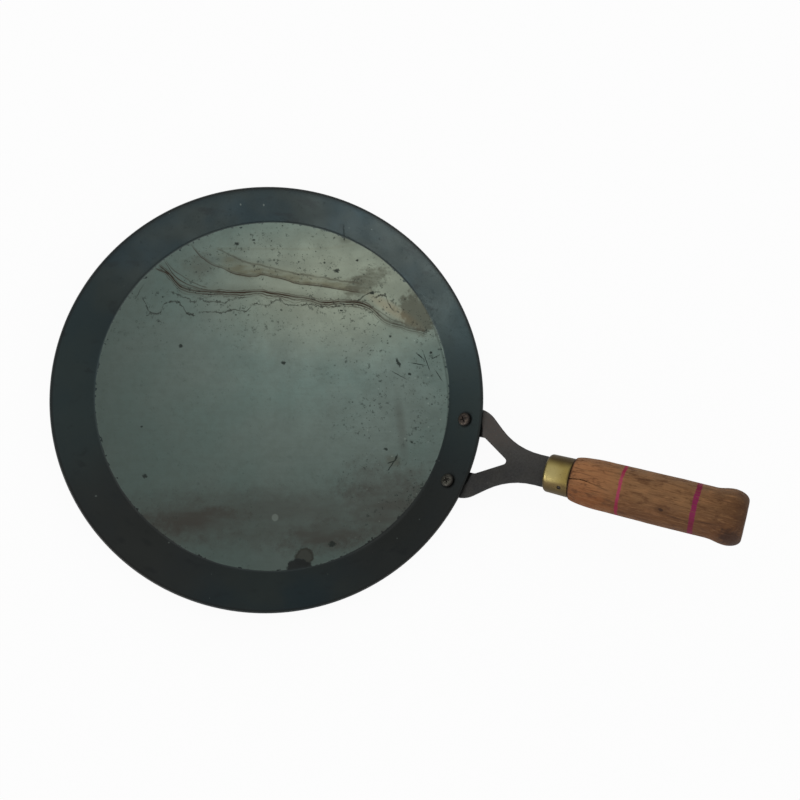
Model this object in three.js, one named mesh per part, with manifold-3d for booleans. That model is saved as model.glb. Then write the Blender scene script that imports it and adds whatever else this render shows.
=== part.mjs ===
// A tawa: a round sheet-iron griddle pan with a flared wall, a forked steel bracket screwed under the wall,
// and a turned wooden grip held on the bracket's tang by a brass ferrule.
// Millimetres, +Z up. The origin is the centre of the pan's flat underside, and the handle points along +X.
import * as THREE from 'three';
import { mergeVertices } from 'three/addons/utils/BufferGeometryUtils.js';
import Module from 'manifold-3d';

const wasm = await Module();
wasm.setup();
const degrees = THREE.MathUtils.degToRad;

// Pan
const rimDiameter = 300;
const panHeight = 22;
const sheetThickness = 2;
const wallAngle = degrees(43);
const bendRadius = 3;
const lipRounding = 0.5;

// Bracket
const handleRise = degrees(28);
const plateThickness = 3;
const neckLength = 52;
const neckWidth = 21.4;
const neckStraight = 7;
const flareRadius = 50;
const flareAngle = degrees(39);
const shoulderRadius = 18;
const padWidth = 19.4;
const crotchReach = 22.2;
const crotchAngle = degrees(31);
const crotchRounding = 2.4;
const padCornerRounding = 3;
const tangLength = 62;
const tangWidth = 11;
const tangTipWidth = 6;

// Screws, washers and nuts
const screwSpacing = 45.8;
const screwFromLip = 13.5;
const screwDiameter = 5;
const screwTipChamfer = 0.5;
const headDiameter = 9.2;
const headHeight = 2.8;
const headCrown = 1.1;
const crossLength = 5.4;
const crossWidth = 1.3;
const crossDepth = 1.6;
const threadStandout = 2;
const washerDiameter = 10;
const washerThickness = 1;
const nutWidth = 8;
const nutHeight = 4;
const nutChamfer = 0.5;

// Ferrule and its nail
const ferruleLength = 17.6;
const ferruleFrontRadius = 13.1;
const ferruleBackRadius = 13.45;
const ferruleWall = 0.9;
const ferruleRounding = 2.6;
const neckInset = 3;
const nailStation = 12.2;
const nailAngle = degrees(44);
const nailDiameter = 1.8;
const nailHeadDiameter = 2.6;
const nailHeadHeight = 0.5;
const nailSink = 0.4;
const nailLength = 7;

// Wooden grip, measured from the back of the ferrule
const gripLength = 110.2;
const gripNeckRadius = 13.9;
const gripRadius = 16.8;
const gripShoulderLength = 21;
const gripWaistRadius = 16.55;
const gripWaistFromEnd = 20.5;
const gripKnobRadius = 18.1;
const gripKnobFromEnd = 9.6;
const gripEndRadius = 12.2;
const gripTaperLength = 22;

// Clearances
const seatGap = 0.3;
const holeClearance = 0.3;

// Facets
const panSegments = 96;
const gripSegments = 40;
const screwSegments = 20;
const arcSteps = 6;

// A closed mesh becomes a solid once its shared corners are merged and its collapsed triangles are dropped.
function solidOf(geometry) {
  const bare = geometry.clone();
  bare.deleteAttribute('normal');
  bare.deleteAttribute('uv');
  const merged = mergeVertices(bare);
  const index = merged.index.array;
  const triangles = [];
  for (let i = 0; i < index.length; i += 3) {
    const [a, b, c] = index.slice(i, i + 3);
    if (a !== b && b !== c && c !== a) triangles.push(a, b, c);
  }
  const vertProperties = new Float32Array(merged.attributes.position.array);
  return new wasm.Manifold(new wasm.Mesh({ numProp: 3, vertProperties, triVerts: new Uint32Array(triangles) }));
}

function geometryOf(solid) {
  const mesh = solid.getMesh();
  const geometry = new THREE.BufferGeometry();
  geometry.setAttribute('position', new THREE.BufferAttribute(new Float32Array(mesh.vertProperties), 3));
  geometry.setIndex(new THREE.BufferAttribute(new Uint32Array(mesh.triVerts), 1));
  const flat = geometry.toNonIndexed();
  flat.computeVertexNormals();
  return flat;
}

// Revolves a profile of (radius, height) points about Z, or about X with the height along X.
function latheZ(profile, segments) {
  const points = profile.map(([radius, height]) => new THREE.Vector2(radius, height));
  return new THREE.LatheGeometry(points, segments).rotateX(Math.PI / 2);
}

function latheX(profile, segments) {
  return latheZ(profile, segments).rotateY(Math.PI / 2);
}

// Points on a round or oval arc, both ends included.
function arc(centreX, centreY, radiusX, radiusY, from, to, steps = arcSteps) {
  return Array.from({ length: steps + 1 }, (_, i) => {
    const angle = from + ((to - from) * i) / steps;
    return [centreX + radiusX * Math.cos(angle), centreY + radiusY * Math.sin(angle)];
  });
}

// Points of a corner rounded off between two straight edges.
function roundedCorner(before, corner, after, radius) {
  const [p, c, n] = [before, corner, after].map(([x, y]) => new THREE.Vector2(x, y));
  const toBefore = p.sub(c).normalize();
  const toAfter = n.sub(c).normalize();
  const half = Math.acos(toBefore.dot(toAfter)) / 2;
  const centre = toBefore.clone().add(toAfter).normalize().multiplyScalar(radius / Math.sin(half)).add(c);
  const start = toBefore.multiplyScalar(radius / Math.tan(half)).add(c).sub(centre);
  const end = toAfter.multiplyScalar(radius / Math.tan(half)).add(c).sub(centre);
  const turn = Math.atan2(start.x * end.y - start.y * end.x, start.dot(end));
  const from = Math.atan2(start.y, start.x);
  return arc(centre.x, centre.y, radius, radius, from, from + turn);
}

function prism(outline, bottom, top) {
  const shape = new THREE.Shape(outline.map(([x, y]) => new THREE.Vector2(x, y)));
  const depth = top - bottom;
  return new THREE.ExtrudeGeometry(shape, { depth, bevelEnabled: false }).translate(0, 0, bottom);
}

function box(sizeX, sizeY, sizeZ, x, y, z) {
  return new THREE.BoxGeometry(sizeX, sizeY, sizeZ).translate(x, y, z);
}

function named(name, geometry, material) {
  const mesh = new THREE.Mesh(geometry, material);
  mesh.name = name;
  return mesh;
}

function finish(colour, roughness, metalness) {
  return new THREE.MeshStandardMaterial({ color: colour, roughness, metalness });
}

// Wall geometry shared by the pan, the bracket and the screws. The lip is cut square across the sheet, so
// its lower outer corner is the widest point.
const rimRadius = rimDiameter / 2;
const lipRadius = rimRadius - sheetThickness * Math.sin(wallAngle);
const wallRun = (panHeight - sheetThickness) / Math.tan(wallAngle);
const floorRadius = lipRadius - wallRun;
const wallDirection = [Math.cos(wallAngle), Math.sin(wallAngle)];
const lipOuterHeight = panHeight - sheetThickness * Math.cos(wallAngle);

// Height of a surface that runs parallel to the wall, a given depth below its outer face.
function underWall(radius, depth) {
  return lipOuterHeight + (radius - rimRadius) * Math.tan(wallAngle) - depth / Math.cos(wallAngle);
}

// Screw seats on the wall's inner face, one on each side of the handle.
const screwRadius = lipRadius - screwFromLip * wallDirection[0];
const screwHeight = panHeight - screwFromLip * wallDirection[1];
const screwAzimuth = Math.asin(screwSpacing / 2 / screwRadius);

function screwSeat(side) {
  const seat = new THREE.Group();
  const azimuth = side * screwAzimuth;
  seat.position.set(screwRadius * Math.cos(azimuth), screwRadius * Math.sin(azimuth), screwHeight);
  seat.rotation.set(0, -wallAngle, azimuth, 'ZYX');
  seat.updateMatrix();
  return seat;
}

const screwSeats = { left: screwSeat(1), right: screwSeat(-1) };
const screwHole = new THREE.CylinderGeometry(
  screwDiameter / 2 + holeClearance,
  screwDiameter / 2 + holeClearance,
  4 * (sheetThickness + plateThickness),
  screwSegments,
).rotateX(Math.PI / 2);

// Handle frame: X runs up along the handle from the lip, Y is to the left, Z is square to the bracket plate,
// and X is also the axis of the tang, the ferrule and the grip. The plate's top meets the wall's outer face
// at the lip, beside the screws.
const handle = new THREE.Group();
const bendX = rimRadius * Math.cos(screwAzimuth);
const bendHeight = underWall(rimRadius, seatGap);
const plateTopAtLip = bendHeight + (rimRadius - bendX) * Math.tan(handleRise);
handle.rotation.y = -handleRise;
handle.position.set(
  rimRadius + (plateThickness / 2) * Math.sin(handleRise),
  0,
  plateTopAtLip - (plateThickness / 2) * Math.cos(handleRise),
);
handle.updateMatrix();
const intoHandle = handle.matrix.clone().invert();

// Pan: one sheet with a flat floor, a bend and a straight flared wall.
function makePan() {
  const bendTangent = Math.tan(wallAngle / 2);
  const outerBend = bendRadius + sheetThickness;
  const outerCorner = floorRadius + sheetThickness * bendTangent;
  const wallStart = -Math.PI / 2 + wallAngle;
  const lipInner = [lipRadius, panHeight];
  const lipOuter = [rimRadius, lipOuterHeight];
  const alongWall = ([x, y], distance) => [x + distance * wallDirection[0], y + distance * wallDirection[1]];
  const profile = [
    [0, 0],
    ...arc(outerCorner - outerBend * bendTangent, outerBend, outerBend, outerBend, -Math.PI / 2, wallStart),
    ...roundedCorner(alongWall(lipOuter, -1), lipOuter, lipInner, lipRounding),
    ...roundedCorner(lipOuter, lipInner, alongWall(lipInner, -1), lipRounding),
    ...arc(
      floorRadius - bendRadius * bendTangent,
      sheetThickness + bendRadius,
      bendRadius,
      bendRadius,
      wallStart,
      -Math.PI / 2,
    ),
    [0, sheetThickness],
  ];
  let pan = solidOf(latheZ(profile, panSegments));
  for (const seat of Object.values(screwSeats)) {
    pan = pan.subtract(solidOf(screwHole.clone().applyMatrix4(seat.matrix)));
  }
  return geometryOf(pan);
}

// Tang: a tapered tongue behind the neck's shoulders, grown by a margin for the slot in the grip.
function tangSide(margin) {
  const start = neckLength + neckInset;
  return [
    [start + tangLength + margin, tangTipWidth / 2 + margin],
    [start, tangWidth / 2 + margin],
  ];
}

function mirrored(points) {
  return points.map(([x, y]) => [x, -y]).reverse();
}

// Bracket outline on the plate: neck, flare, two arms with round pads, and the open crotch between them.
function bracketOutline() {
  const pad = screwSeats.left.position.clone().applyMatrix4(intoHandle);
  const padOuter = pad.y + padWidth / 2;
  const padInner = pad.y - padWidth / 2;
  const neckEdge = neckWidth / 2;
  const flareEndY = neckEdge + flareRadius * (1 - Math.cos(flareAngle));
  const armRise = padOuter - flareEndY - shoulderRadius * (1 - Math.cos(flareAngle));
  const crotchTip = crotchReach + crotchRounding / Math.sin(crotchAngle) - crotchRounding;
  const crotchMouth = crotchTip - padInner / Math.tan(crotchAngle);
  const armLength = armRise / Math.tan(flareAngle);
  const flareStart = neckLength - neckStraight;
  const shoulderEnd = flareStart - (flareRadius + shoulderRadius) * Math.sin(flareAngle) - armLength;
  const oneSide = [
    ...tangSide(0),
    [neckLength + neckInset, neckEdge],
    ...arc(flareStart, neckEdge + flareRadius, flareRadius, flareRadius, -Math.PI / 2, -Math.PI / 2 - flareAngle),
    ...arc(
      shoulderEnd,
      padOuter - shoulderRadius,
      shoulderRadius,
      shoulderRadius,
      Math.PI / 2 - flareAngle,
      Math.PI / 2,
    ),
    ...arc(pad.x, pad.y, padWidth / 2, padWidth / 2, Math.PI / 2, (3 * Math.PI) / 2, 2 * arcSteps),
    ...roundedCorner([pad.x, padInner], [crotchMouth, padInner], [crotchTip, 0], padCornerRounding),
  ];
  const crotch = arc(
    crotchReach - crotchRounding,
    0,
    crotchRounding,
    crotchRounding,
    Math.PI / 2 - crotchAngle,
    -Math.PI / 2 + crotchAngle,
  );
  return [...oneSide, ...crotch, ...mirrored(oneSide)];
}

// Bracket: a plate that follows the wall's outer face under the pan and then runs straight up to the grip.
// Its top is whichever of the two surfaces is lower, and its underside is the same pair one plate deeper.
function makeBracket() {
  const reach = 2 * (neckLength + tangLength);
  const depth = rimRadius;
  const belowWall = (offset) => {
    const inner = floorRadius / 2;
    const outer = rimRadius + reach;
    const profile = [
      [inner, -depth],
      [outer, -depth],
      [outer, underWall(outer, offset)],
      [inner, underWall(inner, offset)],
      [inner, -depth],
    ];
    return solidOf(latheZ(profile, panSegments).applyMatrix4(intoHandle));
  };
  const belowPlate = (top) => solidOf(box(2 * reach, 2 * rimDiameter, depth, 0, 0, top - depth / 2));
  const outside = belowWall(seatGap).intersect(belowPlate(plateThickness / 2));
  const inside = belowWall(seatGap + plateThickness).intersect(belowPlate(-plateThickness / 2));
  let bracket = solidOf(prism(bracketOutline(), -depth / 2, depth / 2)).intersect(outside).subtract(inside);
  for (const seat of Object.values(screwSeats)) {
    const hole = screwHole.clone().applyMatrix4(seat.matrix).applyMatrix4(intoHandle);
    bracket = bracket.subtract(solidOf(hole));
  }
  return geometryOf(bracket);
}

// Nail frame: Z points out of the ferrule, on the side of the ferrule that shows from above.
function nailHole(radius) {
  const from = ferruleBackRadius - nailSink - nailLength - holeClearance;
  const to = ferruleBackRadius + ferruleWall;
  return new THREE.CylinderGeometry(radius, radius, to - from, screwSegments)
    .rotateX(Math.PI / 2)
    .translate(0, 0, (from + to) / 2)
    .rotateX(nailAngle)
    .translate(neckLength + nailStation, 0, 0);
}

// Ferrule: a drawn brass cap with a rounded front edge and a slot for the neck.
function makeFerrule() {
  const frontInner = ferruleFrontRadius - ferruleWall;
  const backInner = ferruleBackRadius - ferruleWall;
  const innerRounding = ferruleRounding - ferruleWall;
  const profile = [
    [0, 0],
    ...arc(
      ferruleFrontRadius - ferruleRounding,
      ferruleRounding,
      ferruleRounding,
      ferruleRounding,
      -Math.PI / 2,
      0,
    ),
    [ferruleBackRadius, ferruleLength],
    [backInner, ferruleLength],
    ...arc(frontInner - innerRounding, ferruleRounding, innerRounding, innerRounding, 0, -Math.PI / 2),
    [0, ferruleWall],
  ];
  const cap = solidOf(latheX(profile, gripSegments).translate(neckLength, 0, 0));
  const slotWidth = neckWidth + 2 * holeClearance;
  const slotHeight = plateThickness + 2 * holeClearance;
  const slot = solidOf(box(4 * ferruleWall, slotWidth, slotHeight, neckLength, 0, 0));
  return geometryOf(cap.subtract(slot).subtract(solidOf(nailHole(nailHeadDiameter / 2 + holeClearance))));
}

// Grip: turned wood with a spigot inside the ferrule, a rounded shoulder, a faint waist and a knobbed end.
function makeGrip() {
  const spigotStart = neckInset + seatGap - ferruleLength;
  const spigotFront = ferruleFrontRadius - ferruleWall - holeClearance;
  const spigotBack = ferruleBackRadius - ferruleWall - holeClearance;
  const waist = gripLength - gripWaistFromEnd;
  const knob = gripLength - gripKnobFromEnd;
  const knobSwell = new THREE.CubicBezierCurve(
    new THREE.Vector2(gripWaistRadius, waist),
    new THREE.Vector2(gripWaistRadius, waist + (knob - waist) / 2),
    new THREE.Vector2(gripKnobRadius, waist + (knob - waist) / 2),
    new THREE.Vector2(gripKnobRadius, knob),
  );
  const profile = [
    [0, spigotStart],
    [spigotFront, spigotStart],
    [spigotBack, seatGap],
    [gripNeckRadius, seatGap],
    ...arc(
      gripNeckRadius,
      gripShoulderLength,
      gripRadius - gripNeckRadius,
      gripShoulderLength - seatGap,
      -Math.PI / 2,
      0,
    ).slice(1),
    [gripRadius, waist - gripTaperLength],
    ...knobSwell.getPoints(arcSteps).map((point) => [point.x, point.y]),
    ...arc(gripEndRadius, knob, gripKnobRadius - gripEndRadius, gripKnobFromEnd, 0, Math.PI / 2).slice(1),
    [0, gripLength],
  ];
  const turned = solidOf(latheX(profile, gripSegments).translate(neckLength + ferruleLength, 0, 0));
  const slotSide = [...tangSide(holeClearance), [neckLength, tangWidth / 2 + holeClearance]];
  const slotHalf = plateThickness / 2 + holeClearance;
  const slot = solidOf(prism([...slotSide, ...mirrored(slotSide)], -slotHalf, slotHalf));
  return geometryOf(turned.subtract(slot).subtract(solidOf(nailHole(nailDiameter / 2 + holeClearance))));
}

function makeNail() {
  const head = ferruleBackRadius - nailSink;
  const shank = nailDiameter / 2;
  const profile = [
    [0, head - nailLength],
    [shank, head - nailLength + nailDiameter],
    [shank, head - nailHeadHeight],
    [nailHeadDiameter / 2, head - nailHeadHeight],
    [nailHeadDiameter / 2, head],
    [0, head],
  ];
  return latheZ(profile, screwSegments);
}

// The screw stack, square to the wall: head inside the pan, then wall, bracket pad, washer and nut below.
const padUnderside = -(sheetThickness + seatGap + plateThickness);
const washerTop = padUnderside - seatGap;
const nutTop = washerTop - washerThickness - seatGap;
const screwEnd = nutTop - nutHeight - threadStandout;

function makeScrew() {
  const shank = screwDiameter / 2;
  const headEdge = headHeight - headCrown;
  const profile = [
    [0, screwEnd],
    [shank - screwTipChamfer, screwEnd],
    [shank, screwEnd + screwTipChamfer],
    [shank, seatGap],
    [headDiameter / 2, seatGap],
    ...arc(0, seatGap + headEdge, headDiameter / 2, headCrown, 0, Math.PI / 2),
  ];
  const crossBottom = seatGap + headHeight - crossDepth;
  const bar = (sizeX, sizeY) => solidOf(box(sizeX, sizeY, headHeight, 0, 0, crossBottom + headHeight / 2));
  const cross = bar(crossLength, crossWidth).add(bar(crossWidth, crossLength));
  return geometryOf(solidOf(latheZ(profile, screwSegments)).subtract(cross));
}

function makeWasher() {
  const bore = screwDiameter / 2 + holeClearance;
  const bottom = washerTop - washerThickness;
  const profile = [
    [bore, bottom],
    [washerDiameter / 2, bottom],
    [washerDiameter / 2, washerTop],
    [bore, washerTop],
    [bore, bottom],
  ];
  return latheZ(profile, screwSegments);
}

function makeNut() {
  const corner = nutWidth / 2 / Math.cos(Math.PI / 6);
  const bore = screwDiameter / 2 + holeClearance;
  const bottom = nutTop - nutHeight;
  const hexagon = arc(0, 0, corner, corner, 0, 2 * Math.PI, 6).slice(0, 6);
  const chamfered = [
    [bore, bottom],
    [nutWidth / 2, bottom],
    [corner, bottom + nutChamfer],
    [corner, nutTop - nutChamfer],
    [nutWidth / 2, nutTop],
    [bore, nutTop],
    [bore, bottom],
  ];
  const blank = solidOf(prism(hexagon, bottom, nutTop));
  return geometryOf(blank.intersect(solidOf(latheZ(chamfered, 2 * screwSegments))));
}

const iron = finish(0x3c4644, 0.5, 0.85);
const blackSteel = finish(0x35332f, 0.6, 0.8);
const brass = finish(0x8f8450, 0.35, 1);
const nailSteel = finish(0x3a2c20, 0.7, 0.7);
const wood = finish(0x7a5138, 0.75, 0);
const screwSteel = finish(0x5a4f46, 0.55, 0.8);

handle.add(named('bracket', makeBracket(), blackSteel));
handle.add(named('ferrule', makeFerrule(), brass));
handle.add(named('grip', makeGrip(), wood));

const nail = named('ferrule_nail', makeNail(), nailSteel);
nail.position.x = neckLength + nailStation;
nail.rotation.x = nailAngle;
handle.add(nail);

for (const [side, seat] of Object.entries(screwSeats)) {
  seat.add(named(`screw_${side}`, makeScrew(), screwSteel));
  seat.add(named(`washer_${side}`, makeWasher(), screwSteel));
  seat.add(named(`nut_${side}`, makeNut(), screwSteel));
}

const tawa = new THREE.Group();
tawa.add(named('pan', makePan(), iron), handle, screwSeats.left, screwSeats.right);

export default tawa;
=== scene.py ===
# %% [markdown]
# # A tawa: an iron griddle pan with a wooden handle
#
# This lesson dresses a finished mechanical model. The model comes in as a fixed frame of eleven plain
# solids: the pan, a forked bracket, two screws with washers and nuts, a brass ferrule, its nail and a
# wooden grip. Each solid is replaced by a finer piece in the same place, and each piece gets a finish
# made of nodes. All sizes are millimetres, and the constant MM turns them into the metres that Blender
# works in.

# %% Load the frame
import math

import bpy
from mathutils import Euler, Matrix, Vector


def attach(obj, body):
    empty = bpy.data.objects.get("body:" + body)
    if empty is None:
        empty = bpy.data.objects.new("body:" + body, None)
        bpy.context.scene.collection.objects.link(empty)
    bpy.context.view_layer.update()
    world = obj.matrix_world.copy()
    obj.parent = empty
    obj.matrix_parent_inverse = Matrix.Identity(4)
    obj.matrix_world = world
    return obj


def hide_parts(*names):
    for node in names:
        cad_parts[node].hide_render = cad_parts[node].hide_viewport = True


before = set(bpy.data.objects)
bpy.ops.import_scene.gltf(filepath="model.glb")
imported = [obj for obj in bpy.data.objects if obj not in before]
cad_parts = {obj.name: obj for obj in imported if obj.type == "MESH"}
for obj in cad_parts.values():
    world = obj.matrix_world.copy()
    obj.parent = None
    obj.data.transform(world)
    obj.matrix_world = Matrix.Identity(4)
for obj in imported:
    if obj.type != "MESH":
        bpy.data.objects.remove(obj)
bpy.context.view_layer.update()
MM = 0.001
print("nodes in the frame:", sorted(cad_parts))

# %% [markdown]
# ## The sizes that the pieces share
#
# The frame says where each solid is, but a fine piece also needs to know how it was drawn. These are the
# same driving sizes as the solids have. The pan is one sheet with a flat floor, a bend and a flared wall.
# The handle rises from the lip at an angle, so it gets a frame of its own: X runs up along the handle and
# Z is square to the bracket's plate. The two screws stand square to the wall, and each has a frame whose
# Z is the screw's axis.

# %% Shared sizes and frames
RIM_RADIUS = 150.0
PAN_HEIGHT = 22.0
SHEET = 2.0
WALL_ANGLE = math.radians(43)
HANDLE_RISE = math.radians(28)
PLATE = 3.0
SEAT_GAP = 0.3
HOLE_GAP = 0.3
SCREW_SPACING = 45.8
SCREW_FROM_LIP = 13.5
SCREW_RADIUS = 2.5

lip_radius = RIM_RADIUS - SHEET * math.sin(WALL_ANGLE)
lip_outer_height = PAN_HEIGHT - SHEET * math.cos(WALL_ANGLE)
floor_radius = lip_radius - (PAN_HEIGHT - SHEET) / math.tan(WALL_ANGLE)
screw_radius = lip_radius - SCREW_FROM_LIP * math.cos(WALL_ANGLE)
screw_height = PAN_HEIGHT - SCREW_FROM_LIP * math.sin(WALL_ANGLE)
screw_azimuth = math.asin(SCREW_SPACING / 2 / screw_radius)
bore = SCREW_RADIUS + HOLE_GAP


def screw_turn(side):
    return Euler((0, -WALL_ANGLE, side * screw_azimuth))


def screw_place(side):
    azimuth = side * screw_azimuth
    across = Vector((math.cos(azimuth), math.sin(azimuth), 0)) * screw_radius
    return (across + Vector((0, 0, screw_height))) * MM


def screw_frame(side):
    return Matrix.Translation(screw_place(side)) @ screw_turn(side).to_matrix().to_4x4()


bend_height = lip_outer_height - SEAT_GAP / math.cos(WALL_ANGLE)
bend_offset = RIM_RADIUS * (1 - math.cos(screw_azimuth))
plate_top = bend_height + bend_offset * math.tan(HANDLE_RISE)
handle_turn = Euler((0, -HANDLE_RISE, 0))
handle_place = Vector((
    RIM_RADIUS + PLATE / 2 * math.sin(HANDLE_RISE),
    0,
    plate_top - PLATE / 2 * math.cos(HANDLE_RISE),
)) * MM
handle_frame = Matrix.Translation(handle_place) @ handle_turn.to_matrix().to_4x4()
print("handle starts at", [round(c / MM, 2) for c in handle_place], "mm")

# %% [markdown]
# ## Tools for modelling
#
# Most of these pieces are round, so they are made as a turner makes them: draw half of the section, then
# turn it. In Blender that is a single vertex, extruded along the section, and the Spin operator. An
# operator acts on all that is selected, so every helper first clears the selection. A spun mesh may come
# out inside out, so its doubles are merged and its normals are recalculated. Cuts are Boolean modifiers
# that are applied at once.

# %% Modelling helpers
MERGE_GAP = 0.002 * MM
QUARTER = math.pi / 2


def deselect():
    bpy.ops.object.select_all(action="DESELECT")


def pick(piece):
    deselect()
    piece.select_set(True)
    bpy.context.view_layer.objects.active = piece


def select_mesh():
    bpy.ops.mesh.select_all(action="SELECT")


def apply_place():
    """Writes the place, turn and scale of what is selected into its mesh."""
    bpy.ops.object.transform_apply(location=True, rotation=True, scale=True)


def apply_modifier(piece, kind, **settings):
    """Gives a piece a modifier with those settings and applies it at once."""
    pick(piece)
    modifier = piece.modifiers.new(kind.lower(), kind)
    for name, value in settings.items():
        setattr(modifier, name, value)
    bpy.ops.object.modifier_apply(modifier=modifier.name)


def arc(centre, radii, start, end, steps):
    angles = [start + (end - start) * i / steps for i in range(steps + 1)]
    return [(centre[0] + radii[0] * math.cos(a), centre[1] + radii[1] * math.sin(a)) for a in angles]


def spin_profile(name, profile, steps):
    """Turns a section of (radius, height) points in millimetres once round the Z axis."""
    deselect()
    bpy.ops.mesh.primitive_plane_add(size=MM)
    piece = bpy.context.object
    piece.name = name
    bpy.ops.object.mode_set(mode="EDIT")
    select_mesh()
    bpy.ops.mesh.merge(type="CENTER")
    bpy.ops.transform.translate(value=(profile[0][0] * MM, 0, profile[0][1] * MM))
    for (radius, height), (next_radius, next_height) in zip(profile, profile[1:]):
        step = ((next_radius - radius) * MM, 0, (next_height - height) * MM)
        bpy.ops.mesh.extrude_vertices_move(TRANSFORM_OT_translate={"value": step})
    select_mesh()
    bpy.ops.mesh.spin(steps=steps, angle=math.tau, center=(0, 0, 0), axis=(0, 0, 1))
    select_mesh()
    bpy.ops.mesh.remove_doubles(threshold=MERGE_GAP)
    bpy.ops.mesh.normals_make_consistent(inside=False)
    bpy.ops.object.mode_set(mode="OBJECT")
    return piece


def put(piece, matrix):
    """Moves a piece to its place and writes that place into its mesh."""
    pick(piece)
    piece.matrix_world = matrix
    apply_place()


def cut(piece, cutter, operation="DIFFERENCE"):
    apply_modifier(piece, "BOOLEAN", operation=operation, solver="EXACT", object=cutter)
    bpy.data.objects.remove(cutter)


def block(size, centre):
    """A box in millimetres, used as a cutter."""
    deselect()
    bpy.ops.mesh.primitive_cube_add(size=1)
    piece = bpy.context.object
    scale = Matrix.Diagonal((*(Vector(size) * MM), 1))
    piece.matrix_world = Matrix.Translation(Vector(centre) * MM) @ scale
    apply_place()
    return piece


def soften_edges(piece, width, segments=2, angle=35, clamp=True):
    limits = {"limit_method": "ANGLE", "angle_limit": math.radians(angle), "use_clamp_overlap": clamp}
    apply_modifier(piece, "BEVEL", width=width * MM, segments=segments, **limits)


def hand_in(piece, node, finish, smooth=35):
    """Shades a piece, gives it its finish and lets it stand for its node in the frame."""
    pick(piece)
    bpy.ops.object.shade_smooth_by_angle(angle=math.radians(smooth))
    piece.data.materials.clear()
    piece.data.materials.append(finish)
    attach(piece, "root")
    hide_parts(node)
    low, high = (Vector(corner) / MM for corner in (piece.bound_box[0], piece.bound_box[6]))
    size = ", ".join(f"{c:.1f}" for c in high - low)
    print(f"{piece.name}: {len(piece.data.polygons)} faces, {size} mm")


# %% [markdown]
# ## Tools for finishes
#
# A finish is a small network of nodes that ends in one Principled shader. Building such networks by hand
# in code gets long, so this class has one short call for each kind of node. Every pattern starts from
# Object coordinates, turned into millimetres in a frame that suits the piece, so that a number in a
# finish is a size on the object.

# %% Finish helpers
SPOT_EDGE = 0.35


def srgb(red, green, blue):
    """A colour in steps of 0 to 255, as the linear values that a shader socket takes."""
    shares = [step / 255 for step in (red, green, blue)]
    linear = [s / 12.92 if s <= 0.04045 else ((s + 0.055) / 1.055) ** 2.4 for s in shares]
    return (*linear, 1.0)


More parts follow.
